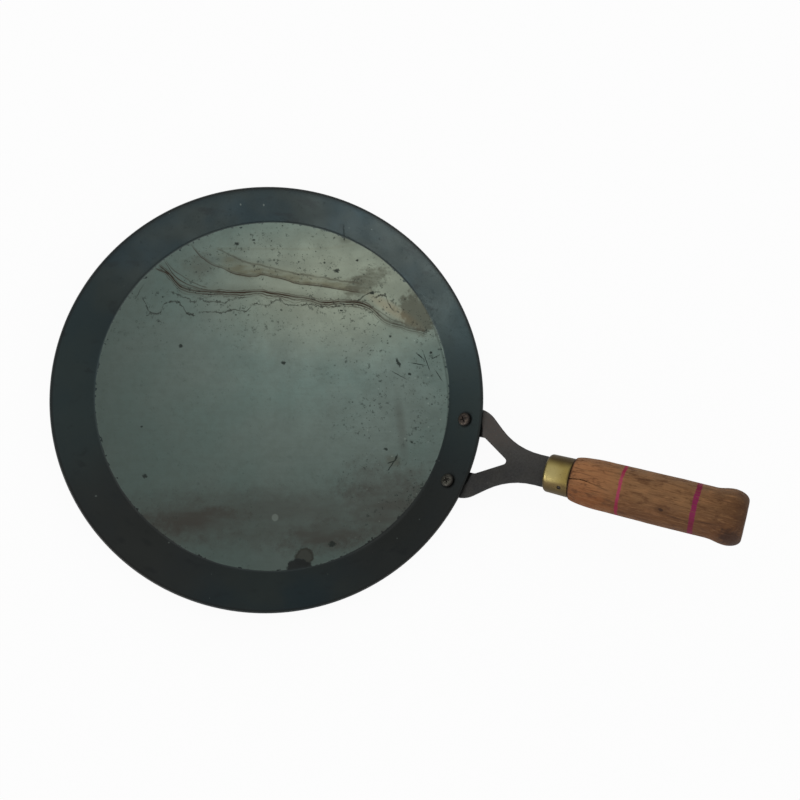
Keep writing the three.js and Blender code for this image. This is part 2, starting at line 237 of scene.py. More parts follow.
class Finish:
    def __init__(self, name):
        self.material = bpy.data.materials.new(name)
        self.material.use_nodes = True
        self.tree = self.material.node_tree
        self.shader = self.tree.nodes["Principled BSDF"]

    def fill(self, socket, value):
        if isinstance(value, bpy.types.NodeSocket):
            self.tree.links.new(value, socket)
        else:
            socket.default_value = value

    def add(self, kind, sockets, **settings):
        node = self.tree.nodes.new(kind)
        for name, value in settings.items():
            setattr(node, name, value)
        for name, value in sockets.items():
            self.fill(node.inputs[name], value)
        return node

    def coordinates(self, place=(0, 0, 0), turn=(0, 0, 0)):
        """Starts every pattern: Object coordinates in millimetres, seen from that place and turn."""
        source = self.add("ShaderNodeTexCoord", {}).outputs["Object"]
        sockets = {"Vector": source, "Location": place, "Rotation": turn, "Scale": (MM, MM, MM)}
        self.place = self.add("ShaderNodeMapping", sockets, vector_type="TEXTURE").outputs[0]

    def split(self):
        """Takes x, y and z from the coordinates, for marks that have a place of their own."""
        self.x, self.y, self.z = self.add("ShaderNodeSeparateXYZ", {0: self.place}).outputs

    def maths(self, operation, a, b=0.0, c=0.0):
        return self.add("ShaderNodeMath", {0: a, 1: b, 2: c}, operation=operation).outputs[0]

    def chain(self, operation, total, *values):
        for value in values:
            total = self.maths(operation, total, value)
        return total

    def product(self, *values):
        return self.chain("MULTIPLY", *values)

    def largest(self, *values):
        return self.chain("MAXIMUM", *values)

    def remap(self, value, low, high, new_low=0.0, new_high=1.0, smooth=True):
        kind = "SMOOTHSTEP" if smooth else "LINEAR"
        sockets = {"Value": value, 1: low, 2: high, 3: new_low, 4: new_high}
        return self.add("ShaderNodeMapRange", sockets, interpolation_type=kind).outputs[0]

    def mapped(self, vector, **sockets):
        return self.add("ShaderNodeMapping", {"Vector": vector, **sockets}).outputs[0]

    def noise(self, size, detail=2.0, roughness=0.5, offset=0.0, stretch=None):
        """Soft noise from 0 to 1 whose lumps are about that many millimetres across."""
        place = self.place
        if stretch:
            place = self.mapped(place, Scale=stretch)
        if offset:
            place = self.mapped(place, Location=(offset, offset, offset))
        sockets = {"Vector": place, "Scale": 1 / size, "Detail": detail, "Roughness": roughness}
        return self.add("ShaderNodeTexNoise", sockets).outputs["Fac"]

    def sway(self, reach, *pattern, **more):
        """Noise of that pattern, made to sway between -reach and reach."""
        return self.maths("MULTIPLY_ADD", self.noise(*pattern, **more), 2 * reach, -reach)

    def clouds(self, span, *pattern, **more):
        """Noise of that pattern as a mask, which rises over a span of the noise."""
        return self.remap(self.noise(*pattern, **more), *span)

    def blend(self, factor, first, second):
        sockets = {0: factor, 6: first, 7: second}
        return self.add("ShaderNodeMix", sockets, data_type="RGBA").outputs[2]

    def cover(self, mask, shade):
        """Lays a shade over the colour so far, where a mask is."""
        self.colour = self.blend(mask, self.colour, shade)

    def tint(self, mask, share, shade):
        """Lays a shade in steps of 0 to 255 over the colour so far, at a share of a mask."""
        self.cover(self.product(mask, share), srgb(*shade))

    def spots(self, size, largest, share, seed):
        """Round specks scattered over x and y: one in each cell of that size, of which a share shows."""
        sockets = {"Vector": self.mapped(self.place, Location=(seed, seed, 0)), "Scale": 1 / size}
        cells = self.add("ShaderNodeTexVoronoi", sockets, voronoi_dimensions="2D").outputs
        draw = self.add("ShaderNodeSeparateColor", {0: cells["Color"]}).outputs[0]
        radius = self.remap(draw, 1 - share, 1.0, 0.0, largest / size, smooth=False)
        edge = self.maths("SUBTRACT", radius, cells["Distance"])
        return self.remap(edge, 0.0, SPOT_EDGE * largest / size)

    def reach(self, centre, radii=(1.0, 1.0), turn=0.0):
        """Distance from a point over x and y, counted in the radii of an oval."""
        cosine, sine = math.cos(turn), math.sin(turn)
        total = 0.0
        for radius, (in_x, in_y) in zip(radii, ((cosine, sine), (-sine, cosine))):
            start = -(centre[0] * in_x + centre[1] * in_y) / radius
            share = self.maths("MULTIPLY_ADD", self.x, in_x / radius, start)
            share = self.maths("MULTIPLY_ADD", self.y, in_y / radius, share)
            total = self.maths("MULTIPLY_ADD", share, share, total)
        return self.maths("SQRT", total)

    def patch(self, centre, radii, soft, ragged=None, turn=0.0):
        """An oval patch, 1 inside and 0 outside, whose edge fades over that share of its size."""
        reach = self.reach(centre, radii, turn)
        if ragged is not None:
            reach = self.maths("ADD", reach, ragged)
        return self.remap(reach, 1 + soft / 2, 1 - soft / 2)

    def stroke(self, start, end, half_width, soft=0.6, ragged=None):
        """A short straight mark from one point to another."""
        along = Vector(end) - Vector(start)
        centre = (Vector(end) + Vector(start)) / 2
        radii = (along.length / 2, half_width)
        return self.patch(centre, radii, soft, ragged, turn=math.atan2(along.y, along.x))

    def distance(self, point):
        """Distance in millimetres from a point."""
        sockets = {0: self.place, 1: point}
        return self.add("ShaderNodeVectorMath", sockets, operation="DISTANCE").outputs["Value"]

    def height_along(self, points):
        """The y of a given line at each x, as a float curve through its points."""
        xs, ys = zip(*points)
        low_y, high_y = min(ys), max(ys)
        share = self.remap(self.x, xs[0], xs[-1], smooth=False)
        curve = self.add("ShaderNodeFloatCurve", {"Value": share})
        line = curve.mapping.curves[0]
        spots = [((px - xs[0]) / (xs[-1] - xs[0]), (py - low_y) / (high_y - low_y)) for px, py in points]
        line.points[0].location, line.points[1].location = spots[0], spots[-1]
        for spot in spots[1:-1]:
            line.points.new(*spot)
        curve.mapping.update()
        return self.remap(curve.outputs[0], 0.0, 1.0, low_y, high_y, smooth=False)

    def between(self, value, low, high, soft):
        rise = self.remap(value, low - soft, low + soft)
        return self.product(rise, self.remap(value, high + soft, high - soft))

    def bump(self, height, depth, base=None):
        """A bump whose height runs from 0 to depth millimetres."""
        sockets = {"Height": height, "Distance": depth * MM, "Strength": 1.0}
        if base is not None:
            sockets["Normal"] = base
        return self.add("ShaderNodeBump", sockets).outputs[0]

    def finish(self, **sockets):
        for name, value in sockets.items():
            self.fill(self.shader.inputs[name.replace("_", " ")], value)
        return self.material


print("finish helpers ready")

# %% [markdown]
# ## The pan's iron
#
# The pan is one sheet of iron with two looks. The floor was ground clean, so bare grey-green metal shows,
# with water marks, brown tide lines, burnt specks and stains from years of cooking. The wall still has
# its dark blue mill scale. One finish carries both, and a mask by distance from the middle tells them
# apart. The marks are drawn in axes turned so that the handle points down to the right. A tide line is a
# float curve through a few given points, and noise then makes it wander, because a drying edge is
# never a clean curve.

# %% Iron finish: marks on the floor
PHOTO_TURN = math.radians(16.72)
FLOOR_CENTRE = (1.7, 3.2)
GROUND_RADIUS = 126.3
LINE_CORE = 0.45
LINE_END = 1.5

TIDE_MAIN = [
    (-83.5, 96.5), (-79, 93), (-75, 89.5), (-70, 83.5), (-65, 79.5), (-59, 77.8), (-48, 77), (-34, 76.5),
    (-24, 76.6), (-10, 77.6), (1, 76), (13, 74.4), (25, 72.7), (35, 70), (51, 70.6), (61, 70), (69, 67.5),
    (75, 63), (78, 60), (84, 56), (92, 53.5), (101, 51), (113, 48.5),
]
TIDE_RIGHT = [
    (52, 70), (60, 71.2), (65, 69.3), (74, 66), (80, 62), (88, 57), (94, 55), (103, 51.6), (113, 49.5),
]
TIDE_UPPER = [
    (-61, 113), (-56, 106.5), (-50.5, 101), (-45, 97.3), (-38, 95), (-30.5, 91.3), (-24, 89.5),
    (-13, 88.7), (-9, 90), (-1, 88.4), (8, 86.8), (16, 84), (33, 82.3), (50, 79.6), (64, 77.5),
]
TIDE_CREST = [
    (-42, 109), (-35, 106), (-29, 103), (-21.5, 99.5), (-13, 97.8), (3, 94), (19, 91), (35, 88.5),
    (64, 84),
]
FAN_LOW = [(-86, 94), (-81, 92), (-75.5, 89.7), (-70, 84.6)]
FAN_HIGH = [(-79.5, 101), (-76, 95), (-72, 89.3), (-66.5, 84.7), (-59, 81), (-49, 78.4), (-37, 77.1)]
FAN_TOP = [(-78.5, 101), (-74, 93.5), (-68.5, 89), (-63, 85.7), (-56, 81.6), (-47, 78.8)]
DRY_EDGE = [(-101, 70), (-97.6, 73), (-95, 78), (-92.3, 83), (-91.5, 86)]
DRY_LEFT = [
    (-95, 73), (-91.3, 67.6), (-87.6, 61), (-82, 60.3), (-79, 66), (-76, 68.7), (-70, 69.2), (-65.4, 66),
    (-61, 60.5), (-55, 59),
]
DRY_MIDDLE = [
    (-53, 62), (-46, 62), (-37.4, 61.6), (-30, 63.6), (-21, 62.7), (-16.6, 67), (-12, 68.5), (-6.6, 67),
    (-2, 68.6), (3, 71.5), (8.5, 68.4), (16, 67.4), (25, 68.4), (31, 67.5), (39.5, 67), (50, 67.7),
]
DRY_UPPER = [
    (-75, 77), (-66, 73.5), (-61, 71.7), (-57, 69.4), (-54, 71.7), (-48, 69.5), (-37.5, 69), (-28.5, 72),
    (-19, 72.6),
]
SCRIBBLE = [(59, 69.5), (65.6, 75), (72, 77.8), (79, 79)]
HOOK = [(72.5, 73), (77.7, 75.7), (81.5, 75), (83.8, 69.5), (89, 63)]
BLUE_STREAK = [
    (-48, 100.5), (-29, 101.3), (-10, 100), (8, 98.8), (19, 97.5), (41, 98.6), (60, 101.8), (71, 105.8),
    (85, 110), (104, 114),
]
TOP_LINE = [(-43, 109), (-20, 109.3), (8, 109.7), (28, 110), (47, 112), (62, 114.5)]
STROKES = [
    ((50.8, 126.5), (51.5, 117.4), 0.6), ((89.4, 28), (92.2, 22.6), 1.1),
    ((104, 32.8), (109.4, 28.2), 0.45), ((109, 34), (114, 19.4), 0.28), ((100, 25.4), (111, 23.4), 0.3),
    ((114.5, 27.8), (121.4, 31.4), 0.28), ((89.2, -42), (87.4, -46.6), 0.8),
    ((88, -45), (82.2, -53.8), 0.4), ((82, -48.2), (87.5, -46.6), 0.4), ((43, 94.4), (48, 94), 0.45),
    ((86, 19), (97, 13), 0.25), ((118, 20), (123, 12), 0.3),
]
SPECKS = [
    ((-66, 37), 1.5), ((-27, 113), 1.5), ((-15, 116), 1.1), ((46, 94), 1.7), ((72, 77.5), 1.5),
    ((-92, -21), 0.9), ((41.9, -105.3), 2.6), ((81, -38), 1.3), ((49, 64), 1.0), ((61, 102), 1.0),
    ((99, 17), 1.2), ((100, -33), 1.1), ((-89, -56), 1.6), ((7, 25), 1.6), ((85, 45), 1.0),
    ((115, 33), 1.0),
]


def tide_line(look, points, width, wander, shift=0.0):
    """A line along a float curve that wanders a little and fades at its ends."""
    level = look.maths("ADD", look.height_along(points), wander)
    height = look.maths("ADD", look.y, -shift)
    distance = look.maths("ABSOLUTE", look.maths("SUBTRACT", height, level))
    line = look.remap(distance, width, LINE_CORE * width)
    start, end = points[0][0] + LINE_END, points[-1][0] - LINE_END
    return look.product(line, look.between(look.x, start, end, LINE_END))


def floor_lines(look):
    """Masks of the brown tide lines, in several strands, and of the thin black drying lines."""
    slow = look.sway(2.5, 9, 3)
    quick = look.sway(4, 3.0, 5, 0.7, offset=40)
    uneven = look.clouds((0.35, 0.6, 0.6, 1.0), 12, 3, offset=90)
    broken = look.clouds((0.34, 0.5, 0.35, 1.0), 4, 3, offset=80)
    strands = [
        (TIDE_MAIN, 0.85, 0.4, 0.0, 1.0),
        (TIDE_MAIN, 0.6, 0.7, -1.7, 0.85),
        (TIDE_MAIN, 0.55, 1.0, 1.4, 0.55),
        (TIDE_MAIN, 0.45, 1.6, -3.2, 0.4),
        (TIDE_RIGHT, 0.6, 0.6, 0.0, 0.7),
        (FAN_LOW, 0.75, 0.3, 0.0, 0.95),
        (FAN_HIGH, 0.7, 0.3, 0.0, 0.8),
        (FAN_TOP, 0.55, 0.4, 0.9, 0.6),
        (TIDE_UPPER, 0.6, 0.3, 0.0, 0.8),
        (TIDE_UPPER, 1.3, 0.6, 0.8, 0.3),
        (TIDE_CREST, 0.9, 0.8, 0.0, 0.35),
    ]
    brown = look.largest(*[
        look.product(tide_line(look, points, width, look.product(slow, wander), shift), strength)
        for points, width, wander, shift, strength in strands
    ])
    drying = [
        (DRY_EDGE, 0.9, 0.8, 0.6),
        (DRY_LEFT, 0.85, 0.9, 1.0),
        (DRY_LEFT, 0.6, 1.8, 0.5),
        (DRY_MIDDLE, 0.7, 0.8, 0.9),
        (DRY_MIDDLE, 0.55, 1.9, 0.5),
        (DRY_UPPER, 0.65, 0.8, 0.8),
        (DRY_UPPER, 0.5, 1.7, 0.5),
        (SCRIBBLE, 0.8, 0.9, 0.9),
        (HOOK, 0.9, 0.9, 0.9),
    ]
    black = look.largest(*[
        look.product(tide_line(look, points, width, look.product(quick, wander)), strength)
        for points, width, wander, strength in drying
    ])
    return look.product(brown, uneven), look.product(black, broken)


def floor_stains(look):
    """Masks of a warm cast, of the olive tint between two tide lines, of brown stains and of smoke."""
    ragged = look.sway(1.1, 6, 6, 0.7, offset=15)
    streaked = look.clouds((0.3, 0.65, 0.5, 1.0), 2.4, 3, offset=19, stretch=(0.3, 1, 1))
    above = look.remap(look.maths("SUBTRACT", look.y, look.height_along(TIDE_UPPER)), -2.0, 1.5)
    below = look.remap(look.maths("SUBTRACT", look.height_along(TIDE_CREST), look.y), -4.5, 5.0)
    olive = look.product(above, below, look.between(look.x, -36, 58, 9), streaked)
    warm = look.patch((52, 84), (80, 42), 1.4)
    main_gap = look.maths("SUBTRACT", look.y, look.height_along(TIDE_MAIN))
    halo = look.product(look.between(main_gap, -3, 4, 3), look.between(look.x, -78, 112, 8))
    brown = look.largest(
        look.product(look.patch((66, 85.5), (17, 7.5), 0.6, ragged, turn=0.5), streaked),
        look.patch((104, 62.5), (11, 15.5), 0.5, ragged, turn=0.5),
        look.product(look.patch((-58, 93), (10, 8), 1.4, ragged), 0.4),
        look.product(look.patch((86, -46), (5, 4), 1.2, ragged), 0.6),
        look.product(look.patch((52, 118), (5, 3), 1.2, ragged), 0.4),
        look.product(halo, 0.35),
    )
    smoke = look.largest(
        look.product(look.patch((-10, -86), (100, 19), 1.2, look.product(ragged, 0.5)), 0.6),
        look.patch((-52, -87), (44, 13), 1.5, look.product(ragged, 0.8)),
        look.product(look.patch((36, -98), (34, 13), 1.4, ragged), 0.9),
        look.product(look.patch((80, -80), (36, 24), 1.4, ragged), 0.8),
        look.product(look.stroke((90, -2), (95, -44), 3.0, 1.6), 0.35),
        look.product(look.patch((-52, 97), (9, 7), 1.4, ragged), 0.35),
    )
    wiped = look.clouds((0.35, 0.6, 0.65, 1.0), 11, 3, offset=19, stretch=(0.3, 1, 1))
    return warm, look.product(olive, 0.8), brown, look.product(smoke, wiped)


def floor_specks(look):
    """Mask of burnt specks: many small ones, more towards the top and the right, and a few placed ones."""
    upper = look.remap(look.y, 25, 70, 0.25, 1.0)
    right = look.remap(look.x, 25, 85, 0.25, 1.0)
    patchy = look.clouds((0.38, 0.58, 0.12, 1.0), 20, 2, offset=25)
    scattered = look.largest(
        look.spots(2.9, 0.48, 0.5, 11.0),
        look.spots(6.5, 0.95, 0.5, 53.0),
        look.spots(15.0, 1.4, 0.35, 97.0),
        look.product(look.clouds((0.57, 0.63), 3.2, 5, 0.75, offset=29), 0.85),
    )
    ragged = look.sway(1, 1.3, 3, offset=60)
    single = [look.patch(spot, (size, 0.75 * size), 0.7, ragged) for spot, size in SPECKS]
    single += [look.stroke(*mark, ragged=ragged) for mark in STROKES]
    uneven = look.clouds((0.36, 0.56, 0.25, 1.0), 0.9, 3, offset=83)
    return look.largest(look.product(scattered, look.largest(upper, right), patchy, uneven), *single)


print("marks:", len(SPECKS), "placed specks and", len(STROKES), "strokes")

# %% [markdown]
# ## Putting the iron together
#
# Bare ground steel is a metal, so most of its look is reflection: a metallic shader with a middling
# roughness. The metal is painted darker towards the near and left side, partly as an oil film that has
# baked on and partly as painted shade for the way the light falls across the floor. Dirt is less metallic
# and rougher. A dark band in the bend and a dark ring round each screw head are painted shade, and a pale
# line along the far side of the bend is a painted highlight. The grinder's fine lines, the pits and the
# scale's grain are too small for the mesh, so they are a shallow bump.

# %% Iron finish
BRIGHTEST_FLOOR_SPOT = (33, 74)
FILM_AND_SHADE_REACH = (40, 200)
SMOKY_WALL = [(105, -95), (-100, -96)]
WALL_SHEEN_SPOTS = [(140, 22), (-142, 5)]
FLAKE = (22.3, -113.8)
FLAKE_NOTCH = (19, -121)
PALE_DROP = (1.8, -86)


def floor_colour(look):
    """Colour of the ground iron with its film and painted shade, stains, lines and specks, and a mask of
    all the dirt.
    """
    slow = look.clouds((0.32, 0.68), 60, 3, offset=5)
    mottle = look.clouds((0.35, 0.7), 6, 5, 0.65, offset=9)
    brushed = look.clouds((0.3, 0.7), 2.0, 3, offset=71, stretch=(0.08, 1, 1))
    look.colour = look.blend(slow, srgb(92, 108, 102), srgb(97, 109, 103))
    look.tint(mottle, 0.35, (84, 93, 86))
    look.tint(brushed, 0.15, (82, 94, 90))
    # The floor is painted darker away from its brightest spot: partly an oil film, partly painted shade.
    film_and_shade = look.remap(look.reach(BRIGHTEST_FLOOR_SPOT), *FILM_AND_SHADE_REACH)
    look.tint(film_and_shade, 0.43, (58, 66, 63))
    warm, olive, stains, smoke = floor_stains(look)
    brown, black = floor_lines(look)
    specks = floor_specks(look)
    streak = tide_line(look, BLUE_STREAK, 3.2, 0.0)
    look.tint(streak, 0.5, (72, 86, 84))
    look.tint(tide_line(look, TOP_LINE, 1.4, 0.0), 0.4, (78, 86, 78))
    look.tint(warm, 0.6, (126, 130, 113))
    look.tint(olive, 0.85, (82, 78, 59))
    look.tint(smoke, 0.85, (61, 57, 52))
    look.tint(stains, 0.6, (74, 72, 60))
    rusty = look.stroke((70, 76), (104, 54), 4.0, 1.3)
    look.tint(rusty, 0.35, (112, 95, 68))
    faded = look.remap(look.x, 62, 96, 0.92, 0.5)
    look.tint(brown, faded, (50, 37, 27))
    look.tint(black, 0.75, (38, 38, 33))
    flecks = look.product(look.spots(9.0, 0.9, 0.4, 31.0), look.remap(look.x, 40, 90))
    flecks = look.largest(flecks, look.patch(PALE_DROP, (2.3, 2.5), 0.4))
    look.tint(flecks, 0.28, (132, 142, 134))
    look.tint(specks, 0.85, (36, 42, 39))
    ragged = look.sway(0.5, 4.5, 4, 0.6, offset=33)
    flake = look.patch(FLAKE, (6.4, 6.6), 0.3, ragged)
    inner = look.patch(FLAKE, (5.0, 5.0), 0.4, ragged)
    look.tint(flake, 0.85, (42, 40, 34))
    look.tint(inner, 0.75, (62, 65, 60))
    dirt = look.largest(look.product(stains, 0.5), look.product(smoke, 0.5), brown, black, specks, flake)
    return look.colour, dirt


def wall_colour(look):
    """Leaves the colour at dark mill scale with casts, smudges, a few pale nicks, patches of painted sheen
    and painted shade along the lip.
    """
    cast = look.clouds((0.35, 0.65), 40, 3, offset=30)
    look.colour = look.blend(cast, srgb(35, 46, 49), srgb(42, 49, 48))
    smoky = look.largest(*[look.patch(spot, (70, 60), 1.0) for spot in SMOKY_WALL])
    look.tint(smoky, 0.7, (43, 44, 42))
    # Two broad paler patches on the wall are a painted sheen, for light that the wall mirrors.
    pale = look.largest(*[look.patch(spot, (40, 60), 1.4) for spot in WALL_SHEEN_SPOTS])
    look.tint(pale, 0.5, (50, 62, 62))
    smudge = look.clouds((0.58, 0.75), 9, 4, offset=70, stretch=(0.5, 1, 1))
    look.tint(smudge, 0.45, (30, 33, 34))
    nicks = look.spots(16.0, 0.8, 0.25, 23.0)
    look.tint(nicks, 0.5, (96, 104, 100))
    # The top of the wall is painted darker along the lip, as painted shade for its rounded edge.
    lip = look.remap(look.z, PAN_HEIGHT - 1.6, PAN_HEIGHT - 0.2)
    look.tint(lip, 0.6, (30, 29, 28))
    soot = look.clouds((0.35, 0.65), 25, 4, offset=41)
    under = look.remap(look.z, 0.9, 0.3)
    look.cover(under, look.blend(soot, srgb(34, 33, 32), srgb(58, 54, 50)))


def iron_finish():
    look = Finish("iron")
    look.coordinates(turn=(0, 0, PHOTO_TURN))
    look.split()
    notches = look.clouds((0.54, 0.75, 0.0, 2.2), 2.6, 3, offset=64)
    wander = look.sway(0.6, 30, 2)
    radius = look.reach(FLOOR_CENTRE)
    edge = look.maths("ADD", radius, look.maths("ADD", wander, notches))
    inside = look.remap(look.z, 0.8, 1.2)
    ragged = look.sway(0.45, 3.5, 5, 0.65, offset=21)
    notch = look.product(look.patch(FLAKE_NOTCH, (8.5, 6), 0.2, ragged), inside)
    ground = look.product(look.remap(edge, GROUND_RADIUS + 0.3, GROUND_RADIUS - 0.3), inside)
    ground = look.product(ground, look.maths("SUBTRACT", 1.0, notch))

    floor, dirt = floor_colour(look)
    wall_colour(look)
    # A dark band in the bend, stronger on the near side, is painted shade.
    corner = look.product(look.between(radius, GROUND_RADIUS - 6, GROUND_RADIUS + 1.5, 1.2), inside)
    look.tint(corner, look.remap(look.y, -60, 40, 0.4, 0.0), (28, 31, 31))
    # A pale line along the far side of the bend is a painted highlight.
    bend_highlight = look.between(radius, GROUND_RADIUS - 1.0, GROUND_RADIUS + 0.6, 0.6)
    bend_highlight = look.product(bend_highlight, inside, look.remap(look.y, 0, 80, 0.0, 0.8))
    look.cover(bend_highlight, srgb(72, 80, 78))
    burnt = look.product(notch, look.remap(radius, GROUND_RADIUS + 1.5, GROUND_RADIUS - 2.0))
    look.tint(burnt, 0.6, (36, 36, 34))
    look.cover(ground, floor)
    unturn = Matrix.Rotation(-PHOTO_TURN, 3, "Z")
    # A dark ring round each screw head is a painted shadow.
    for side in (1, -1):
        near = look.distance(unturn @ screw_place(side) / MM)
        look.cover(look.remap(near, 6.8, 4.8, 0.0, 0.8), srgb(22, 24, 24))

    bare = look.product(ground, look.remap(dirt, 0.0, 1.0, 1.0, 0.2, smooth=False))
    grain = look.noise(1.2, 3, stretch=(0.12, 1.0, 1.0))
    lumps = look.noise(2.4, 4, offset=3)
    relief = look.bump(grain, 0.01, look.bump(lumps, 0.04))
    shine = look.clouds((0.3, 0.7, 0.34, 0.42), 18, 4, offset=55)
    return look.finish(
        Base_Color=look.colour,
        Metallic=look.remap(bare, 0.0, 1.0, 0.82, 0.9, smooth=False),
        Roughness=look.maths("ADD", shine, look.product(dirt, 0.2)),
        Normal=relief,
    )


iron = iron_finish()
print("iron finish:", len(iron.node_tree.nodes), "nodes")

# %% [markdown]
# ## The pan
#
# The real pan is pressed from one round of sheet, so its section is a thin line of even thickness: floor,
# bend, wall and a cut edge whose corners are broken. It could be a cylinder with a thickness modifier,
# but then the bend and the edge would be guesses. Spinning the true section gives both. The press was set
# by hand, so the floor sits a few millimetres off the rim's centre. That shift is made on the spun mesh:
# full on the floor, nothing at the lip, and nothing beside the handle, where the bracket's pads must
# still fit the wall.

# %% Pan
BEND_RADIUS = 3.0
LIP_ROUNDING = 0.5
FLAT_RINGS = [0, 40, 80, 105, 118]
BEND_STEPS = 10
LIP_STEPS = 6
WALL_RINGS = 8
PAN_STEPS = 256
DRILL_REACH = 8
DRILL_STEPS = 40
LIP_STILL = 1.5
STILL_ANGLE = math.radians(22)
FREE_ANGLE = math.radians(60)


def pan_section():
    along = (math.cos(WALL_ANGLE), math.sin(WALL_ANGLE))
    bend_end = floor_radius - BEND_RADIUS * math.tan(WALL_ANGLE / 2)
    outer_bend = BEND_RADIUS + SHEET
    down = -QUARTER
    wall = down + WALL_ANGLE
    slant, lift = LIP_ROUNDING * (along[0] + along[1]), LIP_ROUNDING * (along[0] - along[1])
    rounding = (LIP_ROUNDING, LIP_ROUNDING)
    flat_rings = [*FLAT_RINGS, bend_end - 1]
    outer_foot = arc((bend_end, outer_bend), (outer_bend, outer_bend), down, wall, BEND_STEPS)
    outer_edge = (RIM_RADIUS - slant, lip_outer_height + lift)
    inner_edge = (lip_radius - lift, PAN_HEIGHT - slant)
    outer_lip = arc(outer_edge, rounding, wall, wall + QUARTER, LIP_STEPS)
    inner_lip = arc(inner_edge, rounding, wall + QUARTER, wall + math.pi, LIP_STEPS)
    inner_foot = arc((bend_end, outer_bend), (BEND_RADIUS, BEND_RADIUS), wall, down, BEND_STEPS)
    return [
        *[(radius, 0) for radius in flat_rings],
        *outer_foot,
        *rings_between(outer_foot[-1], outer_lip[0], WALL_RINGS),
        *outer_lip,
        *inner_lip,
        *rings_between(inner_lip[-1], inner_foot[0], WALL_RINGS),
        *inner_foot,
        *[(radius, SHEET) for radius in reversed(flat_rings)],
    ]


def rings_between(start, end, count):
    steps = [i / (count + 1) for i in range(1, count + 1)]
    return [(start[0] + (end[0] - start[0]) * s, start[1] + (end[1] - start[1]) * s) for s in steps]


def set_floor_off_centre(pan):
    """Moves the floor and the free part of the wall sideways, less and less towards the lip."""
    shift = Matrix.Rotation(PHOTO_TURN, 2) @ Vector(FLOOR_CENTRE) * MM
    for vertex in pan.data.vertices:
        azimuth = abs(math.atan2(vertex.co.y, vertex.co.x))
        share = min(max((azimuth - STILL_ANGLE) / (FREE_ANGLE - STILL_ANGLE), 0), 1)
        height = min(max((vertex.co.z / MM - SHEET) / (lip_outer_height - LIP_STILL - SHEET), 0), 1)
        radius = min(vertex.co.xy.length / (floor_radius * MM), 1)
        still = 1 - radius * (1 - share * share * (3 - 2 * share))
        vertex.co.xy += shift * (1 - height) * still


def make_pan():
    pan = spin_profile("pan_sheet", pan_section(), PAN_STEPS)
    set_floor_off_centre(pan)
    drill_section = [(0, -DRILL_REACH), (bore, -DRILL_REACH), (bore, DRILL_REACH), (0, DRILL_REACH)]
    for side in (1, -1):
        drill = spin_profile("drill", drill_section, DRILL_STEPS)
        put(drill, screw_frame(side))
        cut(pan, drill)
    return pan


hand_in(make_pan(), "pan", iron, smooth=40)

# %% [markdown]
# ## The bracket's black steel
#
# The bracket was cut from plate and bent while hot, so it wears black forge scale. The arm on the far
# side has been rubbed a little browner and paler than the near one. Two sizes of noise make the scale's
# blotches and grain. The cut sides and the underside are painted darker than the top face, as painted
# shade that draws a dark outline round the plate, and the height over the plate's middle tells them apart.

# %% Black steel finish
def black_steel_finish():
    look = Finish("black_steel")
    look.coordinates(place=handle_place, turn=handle_turn)
    look.split()
    blotch = look.clouds((0.35, 0.65), 14, 4)
    fine = look.noise(1.4, 4, 0.6, offset=20)
    look.colour = look.blend(look.remap(look.y, -16, 20), srgb(28, 28, 28), srgb(62, 60, 57))
    look.tint(blotch, 0.5, (48, 46, 41))
    brown = look.product(look.patch((7, 21), (20, 12), 1.2), look.remap(fine, 0.3, 0.65))
    look.tint(brown, 0.7, (76, 67, 62))
    scuff = look.clouds((0.6, 0.75), 4.5, 4, 0.65, offset=35)
    look.tint(scuff, 0.5, (36, 35, 34))
    speck = look.clouds((0.68, 0.76), 0.9, 2, offset=44)
    look.tint(speck, 0.45, (98, 94, 86))
    # Below the top face the plate is painted dark as painted shade, which outlines the plate.
    edge = look.remap(look.z, PLATE / 2 - 0.01, PLATE / 2 - 0.15)
    look.cover(edge, srgb(34, 33, 32))
    return look.finish(
        Base_Color=look.colour,
        Metallic=look.largest(look.remap(fine, 0.3, 0.7, 0.25, 0.45), edge),
        Roughness=look.remap(fine, 0.2, 0.8, 0.46, 0.64),
        Normal=look.bump(look.maths("ADD", fine, look.product(blotch, 1.5)), 0.07),
    )


black_steel = black_steel_finish()
print("black steel finish:", len(black_steel.node_tree.nodes), "nodes")

# %% [markdown]
# ## The forked bracket
#
# The frame's solid already has the bracket's true outline, its bent pads and its holes, which took
# careful drawing. Modelling it again by hand would only lose that, so a copy is refined instead. The
# copy's loose triangles are merged and flat neighbours are dissolved into whole faces. Very short edges
# would hold a bevel back to almost nothing, so they are dissolved too. Then a bevel breaks the sharp
# sheared edges.

# %% Bracket
SHORT_EDGE = 0.25
FLAT_ANGLE = math.radians(0.4)
BRACKET_EDGE = 0.4


def refined_copy(node, name, width):
    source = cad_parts[node]
    piece = bpy.data.objects.new(name, source.data.copy())
    bpy.context.scene.collection.objects.link(piece)
    pick(piece)
    bpy.ops.object.mode_set(mode="EDIT")
    select_mesh()
    bpy.ops.mesh.remove_doubles(threshold=MERGE_GAP)
    bpy.ops.mesh.dissolve_limited(angle_limit=FLAT_ANGLE)
    select_mesh()
    bpy.ops.mesh.dissolve_degenerate(threshold=SHORT_EDGE * MM)
    bpy.ops.object.mode_set(mode="OBJECT")
    soften_edges(piece, width, segments=3, angle=30, clamp=False)
    return piece


bracket = refined_copy("bracket", "forked_bracket", BRACKET_EDGE)
hand_in(bracket, "bracket", black_steel, smooth=20)

# %% [markdown]
# ## Screws, washers and nuts
#
# Two pan-head machine screws hold the bracket under the wall. Their heads show inside the pan: a flat
# domed disc with a cross-shaped recess that a driver has chewed. Head and shank are one spun section. The
# recess is a bar with a narrower foot, used twice as a cutter, a quarter turn apart. The thread below the
# nut is a zigzag in the same section. One screw, washer and nut are modelled at the origin, then copied
# to both sides, and each pair is turned as it happened to be tightened. The left one has rusted, the
# right one is only dull.

